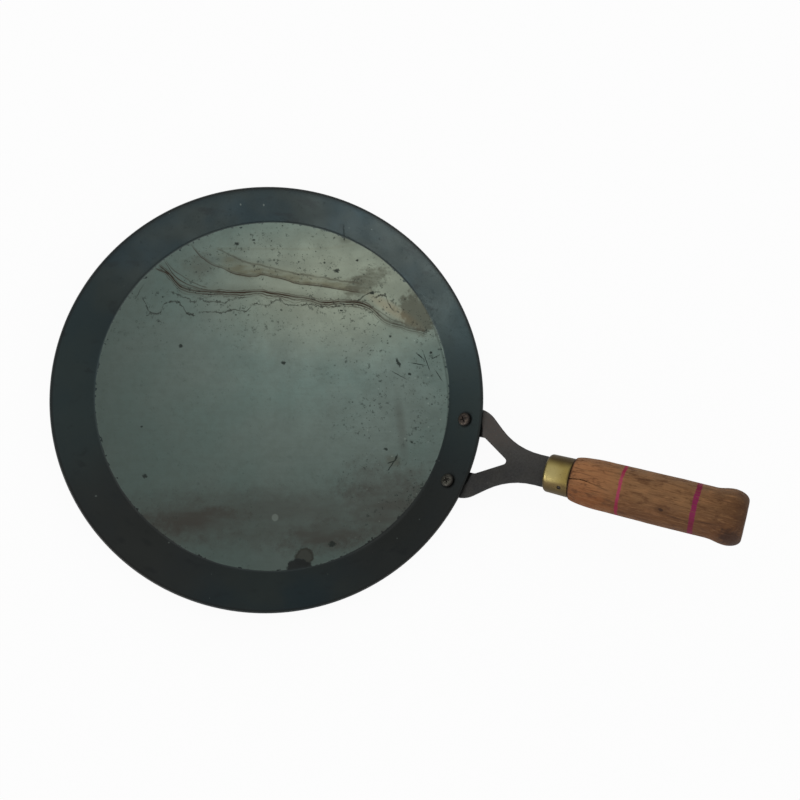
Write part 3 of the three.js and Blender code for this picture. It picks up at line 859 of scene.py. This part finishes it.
# %% Fastener finish
def fastener_finish(name, side, clean, rust, rust_share):
    look = Finish(name)
    look.coordinates(place=screw_place(side), turn=screw_turn(side))
    look.split()
    lumps = look.noise(1.2, 4, 0.6)
    # The cross recess holds rust, and is also painted dark there as painted shade.
    depth = look.remap(look.z, 2.75, 2.0)
    rim = look.remap(look.reach((0, 0)), 3.4, 4.4)
    patches = look.clouds((0.62 - rust_share / 2, 0.75 - rust_share / 2), 2.0, 3, offset=12)
    rusty = look.largest(look.product(depth, 0.9), look.product(patches, 0.9))
    look.colour = look.blend(rusty, clean, rust)
    # The lumps are real grime; the head's outer rim and its recess are painted shade.
    grime_and_shade = look.largest(look.remap(lumps, 0.44, 0.62), look.product(rim, 0.8), look.product(depth, 0.7))
    look.tint(grime_and_shade, 0.75, (26, 22, 20))
    return look.finish(
        Base_Color=look.colour,
        Metallic=look.remap(rusty, 0.0, 1.0, 0.8, 0.3, smooth=False),
        Roughness=look.remap(rusty, 0.0, 1.0, 0.42, 0.7, smooth=False),
        Normal=look.bump(lumps, 0.15),
    )


fastener_finishes = {
    "left": fastener_finish("rusty_steel", 1, srgb(84, 74, 65), srgb(50, 38, 31), 0.35),
    "right": fastener_finish("dull_steel", -1, srgb(84, 83, 75), srgb(50, 46, 38), 0.15),
}
print("fastener finishes:", list(fastener_finishes))

# %% Screws, washers and nuts
HEAD_RADIUS = 4.6
HEAD_HEIGHT = 2.8
HEAD_CROWN = 1.1
HEAD_CHAMFER = 0.25
CROSS = (5.8, 1.5, 1.6)
CROSS_FOOT = 0.6
CROSS_TURNS = {"left": math.radians(24), "right": math.radians(40)}
WASHER = (5.0, 1.0)
NUT_WIDTH = 8.0
NUT_HEIGHT = 4.0
NUT_CHAMFER = 0.5
THREAD_STANDOUT = 2.0
THREAD_PITCH = 0.8
THREAD_DEPTH = 0.42
THREAD_FLAT = 0.1
SCREW_EDGE = 0.08
WASHER_EDGE = 0.15
NUT_EDGE = 0.12
SCREW_STEPS = 48
NUT_STEPS = 60

washer_top = -(SHEET + SEAT_GAP + PLATE) - SEAT_GAP
nut_top = washer_top - WASHER[1] - SEAT_GAP
screw_end = nut_top - NUT_HEIGHT - THREAD_STANDOUT


def make_screw():
    threads = int((washer_top - screw_end) / THREAD_PITCH)
    core = SCREW_RADIUS - THREAD_DEPTH
    section = [(0, screw_end), (core, screw_end)]
    for turn in range(threads):
        foot = screw_end + turn * THREAD_PITCH
        section += [(core, foot + THREAD_FLAT), (SCREW_RADIUS, foot + THREAD_PITCH / 2)]
    section += [
        (SCREW_RADIUS, SEAT_GAP),
        (HEAD_RADIUS - HEAD_CHAMFER, SEAT_GAP),
        (HEAD_RADIUS, SEAT_GAP + HEAD_CHAMFER),
    ]
    edge = SEAT_GAP + HEAD_HEIGHT - HEAD_CROWN
    section += arc((0, edge), (HEAD_RADIUS, HEAD_CROWN), 0, QUARTER, 10)
    screw = spin_profile("screw", section, SCREW_STEPS)
    length, width, depth = CROSS
    top = SEAT_GAP + HEAD_HEIGHT
    for size in ((length, width), (width, length)):
        bar = block((*size, 2 * depth), (0, 0, top))
        for vertex in bar.data.vertices:
            if vertex.co.z < top * MM:
                vertex.co.xy *= CROSS_FOOT
        cut(screw, bar)
    soften_edges(screw, SCREW_EDGE, angle=40)
    return screw


def make_washer():
    radius, thickness = WASHER
    bottom = washer_top - thickness
    section = [(bore, bottom), (radius, bottom), (radius, washer_top), (bore, washer_top), (bore, bottom)]
    washer = spin_profile("washer", section, SCREW_STEPS)
    soften_edges(washer, WASHER_EDGE)
    return washer


def make_nut():
    corner = NUT_WIDTH / 2 / math.cos(math.pi / 6)
    bottom = nut_top - NUT_HEIGHT
    section = [
        (bore, bottom),
        (NUT_WIDTH / 2, bottom),
        (corner, bottom + NUT_CHAMFER),
        (corner, nut_top - NUT_CHAMFER),
        (NUT_WIDTH / 2, nut_top),
        (bore, nut_top),
        (bore, bottom),
    ]
    middle = (0, 0, (bottom + nut_top) / 2 * MM)
    size = {"vertices": 6, "radius": corner * MM, "depth": NUT_HEIGHT * MM}
    deselect()
    bpy.ops.mesh.primitive_cylinder_add(**size, location=middle, rotation=(0, 0, math.pi / 6))
    nut = bpy.context.object
    apply_place()
    cut(nut, spin_profile("nut_turning", section, NUT_STEPS), "INTERSECT")
    soften_edges(nut, NUT_EDGE)
    return nut


patterns = {"screw": make_screw(), "washer": make_washer(), "nut": make_nut()}
for kind, pattern in patterns.items():
    for side, sign in (("left", 1), ("right", -1)):
        piece = pattern.copy()
        piece.data = pattern.data.copy()
        piece.name = f"steel_{kind}_{side}"
        bpy.context.scene.collection.objects.link(piece)
        put(piece, screw_frame(sign) @ Matrix.Rotation(CROSS_TURNS[side], 4, "Z"))
        hand_in(piece, f"{kind}_{side}", fastener_finishes[side])
    bpy.data.objects.remove(pattern)

# %% [markdown]
# ## The brass ferrule
#
# The ferrule is a short drawn cap that keeps the wood from splitting where the tang goes in. Its front
# edge rolls over into a flat face with a slot for the bracket's neck. Aged brass is dull olive gold. A
# bright patch near the front of the middle is a painted highlight, and the flanks are painted dark as
# painted shade; the brass is also darker along its edges and browns round the nail and in small pits.
# The nail's head lies sunk in a punched hole, and its colour is made very dark, partly rust and partly
# painted shade for the hole, so from above it is a small dark spot with a bright rim.

# %% Brass finish
FERRULE_START = 52.0
FERRULE_LENGTH = 17.6
FERRULE_FRONT = 13.1
FERRULE_BACK = 13.45
FERRULE_WALL = 0.9
FERRULE_ROUNDING = 2.6
FERRULE_LIP = [(0.05, 0.6), (0.15, 0.1), (0.35, 0.0)]
HANDLE_STEPS = 96
NAIL_STATION = 12.2
NAIL_ANGLE = math.radians(44)
nail_spot = (FERRULE_START + NAIL_STATION, -FERRULE_BACK * math.sin(NAIL_ANGLE))


def brass_finish():
    look = Finish("brass")
    look.coordinates(place=handle_place, turn=handle_turn)
    look.split()
    cloud = look.clouds((0.35, 0.65), 8, 4)
    look.colour = look.blend(cloud, srgb(160, 144, 86), srgb(150, 132, 76))
    # A bright patch near the front of the middle is a painted highlight.
    rubbed = look.patch((FERRULE_START + 4.5, -1.5), (6.5, 6.5), 1.6)
    look.cover(rubbed, srgb(180, 165, 110))
    # The flanks are painted dark as painted shade.
    flank_shade = look.largest(look.remap(look.y, -3.0, -8.5), look.remap(look.y, 3.0, 9.5))
    front = look.remap(look.x, FERRULE_START + 1.6, FERRULE_START)
    back = look.remap(look.x, FERRULE_START + FERRULE_LENGTH - 1.8, FERRULE_START + FERRULE_LENGTH)
    pits = look.clouds((0.6, 0.75), 1.6, 4, 0.6, offset=31)
    # This mask holds real tarnish round the nail and in pits, and the painted shade of the flanks.
    tarnish_and_shade = look.largest(
        look.product(flank_shade, 0.95),
        look.product(look.largest(front, back), 0.85),
        look.product(look.patch(nail_spot, (2.4, 2.0), 1.0), 0.8),
        look.product(pits, 0.45),
    )
    look.cover(tarnish_and_shade, srgb(64, 49, 20))
    rings = look.noise(1.0, 2, stretch=(3.0, 0.05, 0.05))
    dents = look.noise(4.5, 2, offset=8)
    return look.finish(
        Base_Color=look.colour,
        Metallic=look.remap(tarnish_and_shade, 0.0, 1.0, 1.0, 0.75),
        Roughness=look.maths("ADD", look.remap(cloud, 0.0, 1.0, 0.3, 0.36), look.product(tarnish_and_shade, 0.2)),
        Normal=look.bump(dents, 0.1, look.bump(rings, 0.01)),
    )


brass = brass_finish()
print("brass finish:", len(brass.node_tree.nodes), "nodes")

# %% Ferrule and its nail
NECK_WIDTH = 21.4
NAIL_HEAD_RADIUS = 1.3
NAIL_SINK = 0.4
NAIL_LENGTH = 7.0
NAIL_HEAD_HEIGHT = 0.5
NAIL_RADIUS = 0.9
NAIL_STEPS = 32
NAIL_CROWN = 0.3
PUNCH_DEPTH = 3
PUNCH_FLARE = 0.5

along_handle = handle_frame @ Matrix.Rotation(QUARTER, 4, "Y")
to_nail = Matrix.Translation((nail_spot[0] * MM, 0, 0))
nail_frame = handle_frame @ to_nail @ Matrix.Rotation(NAIL_ANGLE, 4, "X")


def make_ferrule():
    start, end = FERRULE_START, FERRULE_START + FERRULE_LENGTH
    inner = FERRULE_ROUNDING - FERRULE_WALL
    centre = (FERRULE_FRONT - FERRULE_ROUNDING, start + FERRULE_ROUNDING)
    section = [
        (0, start),
        (centre[0] - 0.5, start),
        *arc(centre, (FERRULE_ROUNDING, FERRULE_ROUNDING), -QUARTER, 0, 10),
        *[(FERRULE_BACK - inset, end - setback) for inset, setback in FERRULE_LIP],
        (FERRULE_BACK - FERRULE_WALL, end),
        *arc(centre, (inner, inner), 0, -QUARTER, 6),
        (0, start + FERRULE_WALL),
    ]
    ferrule = spin_profile("brass_ferrule", section, HANDLE_STEPS)
    put(ferrule, along_handle)
    slot = block((4 * FERRULE_WALL, NECK_WIDTH + 2 * HOLE_GAP, PLATE + 2 * HOLE_GAP), (start, 0, 0))
    put(slot, handle_frame)
    cut(ferrule, slot)
    top = FERRULE_BACK + FERRULE_WALL
    punch = spin_profile("punch", [
        (0, FERRULE_BACK - PUNCH_DEPTH),
        (NAIL_HEAD_RADIUS, FERRULE_BACK - PUNCH_DEPTH),
        (NAIL_HEAD_RADIUS, FERRULE_BACK - PUNCH_FLARE),
        (NAIL_HEAD_RADIUS + PUNCH_FLARE, top),
        (0, top),
    ], NAIL_STEPS)
    put(punch, nail_frame)
    cut(ferrule, punch)
    return ferrule


def make_nail():
    head = FERRULE_BACK - NAIL_SINK
    section = [
        (0, head - NAIL_LENGTH),
        (NAIL_RADIUS, head - NAIL_LENGTH + 2 * NAIL_RADIUS),
        (NAIL_RADIUS, head - NAIL_HEAD_HEIGHT),
        (NAIL_HEAD_RADIUS - 0.15, head - NAIL_HEAD_HEIGHT),
        *arc((0, head - NAIL_CROWN), (NAIL_HEAD_RADIUS - 0.1, NAIL_CROWN), 0, QUARTER, 6),
    ]
    nail = spin_profile("ferrule_pin", section, NAIL_STEPS)
    put(nail, nail_frame)
    return nail


def nail_finish():
    look = Finish("nail_steel")
    look.coordinates(place=handle_place, turn=handle_turn)
    rust = look.clouds((0.35, 0.65), 0.7, 3)
    # The nail is coloured very dark: its rust, and painted shade for the sunk hole it sits in.
    return look.finish(
        Base_Color=look.blend(rust, srgb(22, 18, 13), srgb(48, 36, 24)),
        Metallic=look.remap(rust, 0.0, 1.0, 0.6, 0.2),
        Roughness=look.remap(rust, 0.0, 1.0, 0.55, 0.8),
        Normal=look.bump(rust, 0.06),
    )


hand_in(make_ferrule(), "ferrule", brass)
hand_in(make_nail(), "ferrule_nail", nail_finish())

# %% [markdown]
# ## The wooden grip
#
# The grip is turned from a coarse brown wood. It swells from the ferrule, runs nearly straight, then has
# a faint waist and a rounded knob with a flat end. Old bare wood moves, so it has split at the ferrule.
# The split is cut into the mesh with a thin bent blade, because a real gap catches the light in a way
# that a painted line can't. The section has many rings, so that a slight displacement can take away the
# look of a perfect lathe. It only moves the wood inwards, because the grip mustn't grow out of the
# frame's box.

# %% Grip shape
GRIP_START = FERRULE_START + FERRULE_LENGTH
GRIP_LENGTH = 110.2
GRIP_NECK = 13.9
GRIP_RADIUS = 16.8
GRIP_SHOULDER = 21.0
GRIP_WAIST = 16.55
GRIP_WAIST_FROM_END = 20.5
GRIP_KNOB = 18.1
GRIP_KNOB_FROM_END = 9.6
GRIP_END = 12.2
GRIP_TAPER = 22.0
TANG_WIDTH = 11.0
TANG_LENGTH = 62.0
TANG_SLACK = 6.0
SPIGOT_GAP = 3.0
STRAIGHT_RINGS = 24
CURVE_RINGS = 10
END_SHARES = (0.8, 0.5, 0.2, 0)
GRIP_WEAR = 0.3
GRIP_LUMPS = 9.0
SPLIT = [(-1.0, -2.4, 0.42), (3.0, -1.9, 0.36), (8.0, -1.0, 0.3), (13.5, -1.5, 0.22), (20.0, -2.4, 0.05)]
SPLIT_FLOOR = (11.2, 15.2)
SPLIT_REACH = 6.0


def grip_section():
    waist = GRIP_LENGTH - GRIP_WAIST_FROM_END
    knob = GRIP_LENGTH - GRIP_KNOB_FROM_END
    spigot_start = SPIGOT_GAP + SEAT_GAP - FERRULE_LENGTH
    spigot = FERRULE_FRONT - FERRULE_WALL - HOLE_GAP
    straight = waist - GRIP_TAPER
    points = [(0, spigot_start), (spigot, spigot_start), (spigot, SEAT_GAP), (GRIP_NECK - 0.3, SEAT_GAP)]
    rise = (GRIP_RADIUS - GRIP_NECK, GRIP_SHOULDER - SEAT_GAP)
    points += arc((GRIP_NECK, GRIP_SHOULDER), rise, -QUARTER, 0, 16)[1:]
    run = straight - GRIP_SHOULDER
    for i in range(1, STRAIGHT_RINGS + 1):
        points.append((GRIP_RADIUS, GRIP_SHOULDER + run * i / STRAIGHT_RINGS))
    shares = [i / CURVE_RINGS for i in range(1, CURVE_RINGS + 1)]
    points += [(GRIP_RADIUS + (GRIP_WAIST - GRIP_RADIUS) * s, straight + GRIP_TAPER * s) for s in shares]
    for share in shares:
        swell = (1 - math.cos(math.pi * share)) / 2
        points.append((GRIP_WAIST + (GRIP_KNOB - GRIP_WAIST) * swell, waist + (knob - waist) * share))
    points += arc((GRIP_END, knob), (GRIP_KNOB - GRIP_END, GRIP_KNOB_FROM_END), 0, QUARTER, 14)[1:]
    points += [(GRIP_END * share, GRIP_LENGTH) for share in END_SHARES]
    return [(radius, GRIP_START + height) for radius, height in points]


def wear_down(piece, depth, lumps):
    """Moves a surface inwards by soft lumps of at most that depth."""
    texture = bpy.data.textures.new("wear", "CLOUDS")
    texture.noise_scale = lumps * MM
    apply_modifier(piece, "DISPLACE", texture=texture, mid_level=0.0, strength=-depth * MM)


def split_blade():
    """A thin bent blade along the split: an upright face, extruded and narrowed from point to point."""
    deselect()
    bpy.ops.mesh.primitive_plane_add(size=MM, rotation=(0, QUARTER, 0))
    blade = bpy.context.object
    apply_place()
    start, _, half_width = SPLIT[0]
    climb = (SPLIT_FLOOR[1] - SPLIT_FLOOR[0]) / (SPLIT[-1][0] - start)
    middle = SPLIT_FLOOR[0] + SPLIT_REACH / 2
    middles = [
        Vector((GRIP_START + distance, y, middle + climb * (distance - start))) * MM
        for distance, y, _ in SPLIT
    ]
    bpy.ops.object.mode_set(mode="EDIT")
    select_mesh()
    bpy.ops.transform.resize(value=(1, 2 * half_width, SPLIT_REACH), center_override=(0, 0, 0))
    bpy.ops.transform.translate(value=middles[0])
    for i in range(1, len(SPLIT)):
        bpy.ops.mesh.extrude_region_move(TRANSFORM_OT_translate={"value": middles[i] - middles[i - 1]})
        bpy.ops.transform.resize(value=(1, SPLIT[i][2] / SPLIT[i - 1][2], 1), center_override=middles[i])
    select_mesh()
    bpy.ops.mesh.normals_make_consistent(inside=False)
    bpy.ops.object.mode_set(mode="OBJECT")
    return blade


def make_grip():
    grip = spin_profile("turned_grip", grip_section(), HANDLE_STEPS)
    put(grip, along_handle)
    wear_down(grip, GRIP_WEAR, GRIP_LUMPS)
    size = (TANG_LENGTH + TANG_SLACK, TANG_WIDTH + 2 * HOLE_GAP, PLATE + 2 * HOLE_GAP)
    slot = block(size, (FERRULE_START + TANG_LENGTH / 2, 0, 0))
    for cutter in (slot, split_blade()):
        put(cutter, handle_frame)
        cut(grip, cutter)
    return grip


grip = make_grip()
print("grip:", len(grip.data.polygons), "faces")

# %% [markdown]
# ## The wood's finish
#
# Wood grain is the edge of thin layers, so it follows the axis of the turning. A noise that is stretched
# along the handle, sent through a sine, gives lines that flow. Finer stretched noises give pale and dark
# fibres. The wood is fresh and orange by the ferrule, grey-brown where the hand goes, and dark at the
# knob. Its near side is painted darker and more orange than its top, as painted shade. On top come short
# cracks, a knot, a stain, and two painted magenta bands that use has rubbed; each band's paint is lighter
# on top and darker at its sides, as painted shade.

# %% Wood finish
# Each band lists its paint twice: lit on top, and darker as painted shade at the sides.
BANDS = (
    (103.4, 1.0, srgb(164, 56, 88), srgb(140, 24, 62)),
    (149.8, 1.6, srgb(128, 18, 76), srgb(112, 6, 54)),
)
KNOT = (131, -7.6)
KNOB_STAIN = (173.0, -14.0)
CRACKS = [
    ((70.5, 6.4), (80, 5.4), 0.35), ((76, 3.4), (86, 2.6), 0.3), ((88, -2.2), (97, -4.2), 0.35),
    ((82, -6.4), (94, -6.0), 0.25), ((134, -9.6), (147, -10.4), 0.4), ((152, -9.0), (164, -8.2), 0.45),
    ((95, -9.6), (101, -9.9), 0.6), ((160, 7.4), (172, 6.6), 0.45), ((110, 8.4), (122, 8.9), 0.3),
]


def wood_finish():
    look = Finish("wood")
    look.coordinates(place=handle_place, turn=handle_turn)
    look.split()
    flow = look.noise(3.2, 3, offset=6, stretch=(0.03, 0.3, 0.3))
    layers = look.maths("SINE", look.product(flow, 44.0))
    fibres = look.noise(0.6, 4, 0.6, stretch=(0.06, 1.0, 1.0))
    threads = look.noise(1.3, 4, 0.65, offset=37, stretch=(0.1, 1.0, 1.0))
    cloud = look.sway(12, 10, 4, offset=17)
    along = look.maths("ADD", look.x, cloud)

    look.colour = look.blend(look.remap(along, 84, 116), srgb(160, 110, 71), srgb(132, 96, 63))
    look.cover(look.remap(along, 136, 176), srgb(98, 67, 41))
    # The near side is painted darker and more orange, as painted shade.
    near = look.remap(look.maths("ADD", look.y, look.product(cloud, 0.4)), 0.0, -13.0)
    orange = look.blend(look.remap(along, 84, 108), srgb(122, 69, 29), srgb(96, 58, 26))
    look.cover(look.product(near, 0.85), orange)
    far = look.remap(look.maths("ADD", look.y, look.product(cloud, 0.3)), 7.0, 15.0)
    look.tint(far, 0.5, (112, 88, 64))
    look.tint(look.remap(layers, -0.2, 1), 0.22, (96, 66, 45))
    mottle = look.noise(5, 4, 0.6, offset=73, stretch=(0.5, 1, 1))
    look.tint(look.remap(mottle, 0.52, 0.66), 0.65, (82, 50, 28))
    look.tint(look.remap(mottle, 0.47, 0.34), 0.3, (156, 110, 72))
    look.tint(look.remap(threads, 0.52, 0.68), 0.4, (156, 115, 75))
    look.tint(look.remap(fibres, 0.52, 0.68), 0.7, (78, 48, 28))

    ragged = look.sway(0.8, 2.5, 3, offset=28)
    cracks = look.largest(*[look.stroke(*crack, 1.2) for crack in CRACKS])
    marks = look.largest(
        look.product(cracks, 0.5),
        look.patch(KNOT, (1.6, 0.9), 0.8, ragged),
        look.product(look.patch(KNOT, (6.0, 2.0), 1.4, ragged), 0.35),
        look.patch(KNOB_STAIN, (6.5, 4.5), 0.9, ragged),
        look.remap(look.x, GRIP_START + 1.8, GRIP_START + 0.9),
    )
    look.tint(marks, 0.85, (48, 27, 16))
    end = look.remap(look.x, 170, 178.5)
    look.tint(end, 0.6, (62, 42, 29))

    rubbed = look.remap(look.maths("ADD", fibres, look.product(threads, 0.5)), 0.95, 0.65, 0.6, 0.97)
    wobble = look.sway(0.8, 5, 3, offset=50)
    for station, half, lit_band_paint, shaded_band_paint in BANDS:
        # The band's paint turns to its painted-shade copy towards the sides.
        tint = look.blend(look.remap(look.maths("ABSOLUTE", look.y), 5, 12), lit_band_paint, shaded_band_paint)
        paint = look.between(look.maths("ADD", look.x, wobble), station - half, station + half, 0.35)
        look.cover(look.product(paint, rubbed), tint)
    relief = look.bump(look.maths("ADD", fibres, threads), 0.16, look.bump(layers, 0.04))
    return look.finish(
        Base_Color=look.colour,
        Roughness=look.remap(fibres, 0.3, 0.7, 0.62, 0.8),
        Specular_IOR_Level=0.15,
        Normal=relief,
    )


hand_in(grip, "grip", wood_finish())

# %% [markdown]
# ## Floor, light and camera
#
# The studio is a pale floor, an even white sky, a panel high over the far half of the pan and two low
# cards on the near side. Metal shows what it mirrors, so the high panel is what brightens the floor of
# the pan, and the cards brighten the far wall, which leans towards them. The cards are there for
# reflections alone, so matt surfaces don't see them. The floor shows as near white to the camera and to
# reflections by a mix with emission, and its diffuse share still takes the object's shadow. All three
# lights are hidden from the camera, which looks almost straight down from a point between the pan and the
# handle.

# %% Floor
FLOOR_SIZE = 40.0
FLOOR_DROP = 0.2 * MM
FLOOR_GREY = (0.86, 0.86, 0.86, 1)
WHITE = (1, 1, 1, 1)
GLOW_SHARE = 0.94


def floor_finish():
    look = Finish("studio_floor")
    look.tree.nodes.remove(look.shader)
    path = look.add("ShaderNodeLightPath", {}).outputs
    seen = look.largest(path["Is Camera Ray"], path["Is Glossy Ray"], path["Is Transmission Ray"])
    matt = look.add("ShaderNodeBsdfDiffuse", {"Color": FLOOR_GREY})
    glow = look.add("ShaderNodeEmission", {"Color": WHITE, "Strength": 1.0})
    mixed = look.add("ShaderNodeMixShader", {
        0: look.product(seen, GLOW_SHARE), 1: matt.outputs[0], 2: glow.outputs[0]
    })
    look.fill(look.tree.nodes["Material Output"].inputs["Surface"], mixed.outputs[0])
    return look.material


deselect()
bpy.ops.mesh.primitive_plane_add(size=FLOOR_SIZE, location=(0, 0, -FLOOR_DROP))
floor = bpy.context.object
floor.name = "studio_floor"
floor.data.materials.append(floor_finish())
print("studio floor:", FLOOR_SIZE, "m across")

# %% Light
SKY_STRENGTH = 0.7
LAMPS = [
    ("high_panel", (0.2, 0.62, 2.0), (0.9, 0.8), 1.75, True),
    ("near_left_card", (-1.1, -1.0, 0.35), (1.9, 0.7), 4.2, False),
    ("near_card", (0.7, -1.35, 0.35), (2.0, 0.7), 1.9, False),
]
photo_axes = Matrix.Rotation(PHOTO_TURN, 3, "Z")


def sky(strength):
    """An even white sky."""
    world = bpy.data.worlds.new("studio_sky")
    world.use_nodes = True
    bpy.context.scene.world = world
    background = world.node_tree.nodes["Background"]
    background.inputs["Color"].default_value = WHITE
    background.inputs["Strength"].default_value = strength


def panel(name, place, size, brightness, lights_matt):
    """A soft rectangular light that faces the pan, placed in axes turned as the photograph is."""
    position = photo_axes @ Vector(place)
    bpy.ops.object.light_add(type="AREA", location=position)
    lamp = bpy.context.object
    lamp.name = name
    lamp.data.shape = "RECTANGLE"
    lamp.data.size, lamp.data.size_y = size
    lamp.data.energy = brightness * math.pi * size[0] * size[1]
    lamp.rotation_euler = (-position).to_track_quat("-Z", "Y").to_euler()
    lamp.visible_camera = False
    lamp.visible_diffuse = lights_matt


sky(SKY_STRENGTH)
for lamp in LAMPS:
    panel(*lamp)
print("lights:", [name for name, *_ in LAMPS])

# %% Camera
CAMERA_PLACE = (34.8, -69.2, 600.0)
CAMERA_TILT = (math.radians(6.40), math.radians(-5.40))
FOCAL_PIXELS = 827.4
PHOTO_PIXELS = 800
SENSOR_WIDTH = 36.0
NEAR_CLIP = 0.01

bpy.ops.object.camera_add(location=photo_axes @ Vector(CAMERA_PLACE) * MM)
camera = bpy.context.object
camera.rotation_mode = "YXZ"
camera.rotation_euler = Euler((*CAMERA_TILT, PHOTO_TURN), "YXZ")
camera.data.sensor_width = SENSOR_WIDTH
camera.data.lens = FOCAL_PIXELS * SENSOR_WIDTH / PHOTO_PIXELS
camera.data.clip_start = NEAR_CLIP
bpy.context.scene.camera = camera
bpy.context.scene.view_settings.view_transform = "Standard"
print("lens", round(camera.data.lens, 2), "mm")
